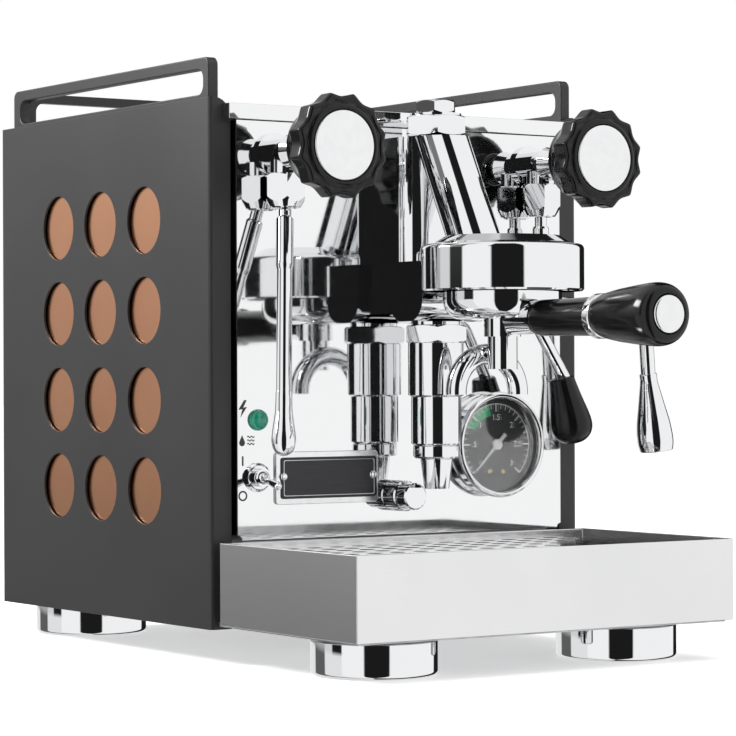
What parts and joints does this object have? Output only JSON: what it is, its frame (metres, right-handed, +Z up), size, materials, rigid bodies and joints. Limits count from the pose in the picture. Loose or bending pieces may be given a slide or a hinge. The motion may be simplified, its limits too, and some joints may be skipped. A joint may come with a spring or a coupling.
{
  "type": "espresso machine",
  "caption": "Espresso machine with a chromed lever brew group, mirror front, dark side panels with round copper windows, steam and hot-water wands and a pull-out drip tray.",
  "frame": {"origin": "middle of the four feet, on the surface they stand on, in the machine's plane of symmetry", "axes": "+X to the machine's right side seen from the front, +Y from the front to the back, +Z up"},
  "size_m": [0.3051, 0.5334, 0.36],
  "materials": {
    "graphite_paint": "satin powder coat",
    "copper_sheet": "satin copper",
    "mirror_steel": "mirror polished stainless",
    "satin_steel": "fine brushed stainless",
    "chrome": "polished chrome on brass",
    "zinc_steel": "plain zinc-plated sheet",
    "black_grip": "gloss moulded",
    "rubber": "matt",
    "boiler_copper": "plain copper",
    "brass_fitting": "turned brass",
    "tank_plastic": "translucent white",
    "inner_plastic": "moulded",
    "lamp_green": "translucent green",
    "dial_card": "printed black",
    "needle_white": "white paint",
    "gauge_glass": "clear",
    "plate_dark": "dark anodised"
  },
  "bodies": {
    "casing": {"base_plate": "zinc_steel", "feet": "chrome", "side_panel_left": "graphite_paint", "side_panel_right": "graphite_paint", "copper_panels": "copper_sheet", "cup_rail_left": "graphite_paint", "cup_rail_right": "graphite_paint", "cup_rail_rear": "graphite_paint", "front_panel": "mirror_steel", "front_bulkhead": "zinc_steel", "back_panel": "satin_steel", "boiler": "boiler_copper", "boiler_flanges": "brass_fitting", "heating_element": "satin_steel", "boiler_fittings": "brass_fitting", "vibration_pump": "inner_plastic", "fill_valve": "brass_fitting", "control_box": "inner_plastic", "copper_pipes": "boiler_copper", "power_inlet": "inner_plastic", "group_casting": "chrome", "mushroom_cap": "chrome", "infusion_chamber": "chrome", "group_gasket": "rubber", "shower_screen": "satin_steel", "valve_bodies": "chrome", "wand_nuts": "chrome", "gauge_case": "chrome", "gauge_dial": "dial_card", "gauge_glass": "gauge_glass", "pilot_lamp": "lamp_green", "switch_base": "chrome", "name_plate": "plate_dark", "drain_cap": "chrome"},
    "cup_tray": {"cup_tray": "mirror_steel"},
    "water_tank": {"water_tank": "tank_plastic", "tank_lid": "inner_plastic"},
    "drip_tray": {"drip_tray": "satin_steel"},
    "drip_grate": {"drip_grate": "satin_steel"},
    "brew_lever": {"brew_lever": "chrome", "lever_grip": "black_grip", "lever_cam": "brass_fitting"},
    "portafilter": {"portafilter_body": "chrome", "filter_basket": "satin_steel", "handle_ferrule": "chrome", "handle_grips": "black_grip", "handle_trims": "chrome", "double_spout": "chrome"},
    "steam_knob": {"steam_knob": "black_grip", "steam_spindle": "chrome"},
    "water_knob": {"water_knob": "black_grip", "water_spindle": "chrome"},
    "steam_ball": {"steam_wand_ball": "chrome"},
    "steam_wand": {"steam_wand": "chrome", "steam_tip": "chrome"},
    "water_ball": {"water_wand_ball": "chrome"},
    "water_wand": {"water_wand": "chrome", "water_nozzle": "chrome"},
    "switch_lever": {"switch_lever": "chrome"},
    "gauge_needle": {"gauge_needle": "needle_white"}
  },
  "joints": [
    {"name": "cup_tray_lift", "type": "slide", "parent": "casing", "child": "cup_tray", "axis": [0, 0, 1], "range_m": [0, 0.06]},
    {"name": "water_tank_lift", "type": "slide", "parent": "casing", "child": "water_tank", "axis": [0, 0, 1], "range_m": [0, 0.045]},
    {"name": "drip_tray_pull", "type": "slide", "parent": "casing", "child": "drip_tray", "axis": [0, -1, 0], "range_m": [0, 0.12]},
    {"name": "drip_grate_lift", "type": "slide", "parent": "drip_tray", "child": "drip_grate", "axis": [0, 0, 1], "range_m": [0, 0.017]},
    {"name": "brew_lever_turn", "type": "hinge", "parent": "casing", "child": "brew_lever", "pos_m": [0.03, -0.1073, 0.214], "axis": [-1, 0, 0], "range_deg": [0, 95]},
    {"name": "portafilter_twist", "type": "hinge", "parent": "casing", "child": "portafilter", "pos_m": [0, -0.1743, 0.215], "axis": [0, 0, -1], "range_deg": [0, 40]},
    {"name": "steam_knob_turn", "type": "hinge", "parent": "casing", "child": "steam_knob", "pos_m": [-0.0952, -0.1293, 0.303], "axis": [0, -1, 0], "range_deg": [0, 540]},
    {"name": "water_knob_turn", "type": "hinge", "parent": "casing", "child": "water_knob", "pos_m": [0.0952, -0.1293, 0.303], "axis": [0, -1, 0], "range_deg": [0, 540]},
    {"name": "steam_wand_swivel", "type": "hinge", "parent": "casing", "child": "steam_ball", "pos_m": [-0.0952, -0.0868, 0.2775], "axis": [0, 0, 1], "range_deg": [-45, 100]},
    {"name": "steam_wand_tilt", "type": "hinge", "parent": "steam_ball", "child": "steam_wand", "pos_m": [-0.0952, -0.0868, 0.2775], "axis": [-0.8307, 0.5567, 0], "range_deg": [-12, 4]},
    {"name": "water_wand_swivel", "type": "hinge", "parent": "casing", "child": "water_ball", "pos_m": [0.0952, -0.0868, 0.2775], "axis": [0, 0, 1], "range_deg": [-35, 30]},
    {"name": "water_wand_tilt", "type": "hinge", "parent": "water_ball", "child": "water_wand", "pos_m": [0.0952, -0.0868, 0.2775], "axis": [-0.5656, -0.8247, 0], "range_deg": [-3, 12]},
    {"name": "switch_throw", "type": "hinge", "parent": "casing", "child": "switch_lever", "pos_m": [-0.1072, -0.0793, 0.1101], "axis": [-1, 0, 0], "range_deg": [0, 28]},
    {"name": "gauge_needle_turn", "type": "hinge", "parent": "casing", "child": "gauge_needle", "pos_m": [0.066, -0.0788, 0.127], "axis": [0, 1, 0], "range_deg": [0, 270], "stiffness_Nm_per_rad": 0.002}
  ],
  "couplings": [
    {"joint": "water_tank_lift", "follows": "cup_tray_lift", "ratio": 0.75}
  ]
}
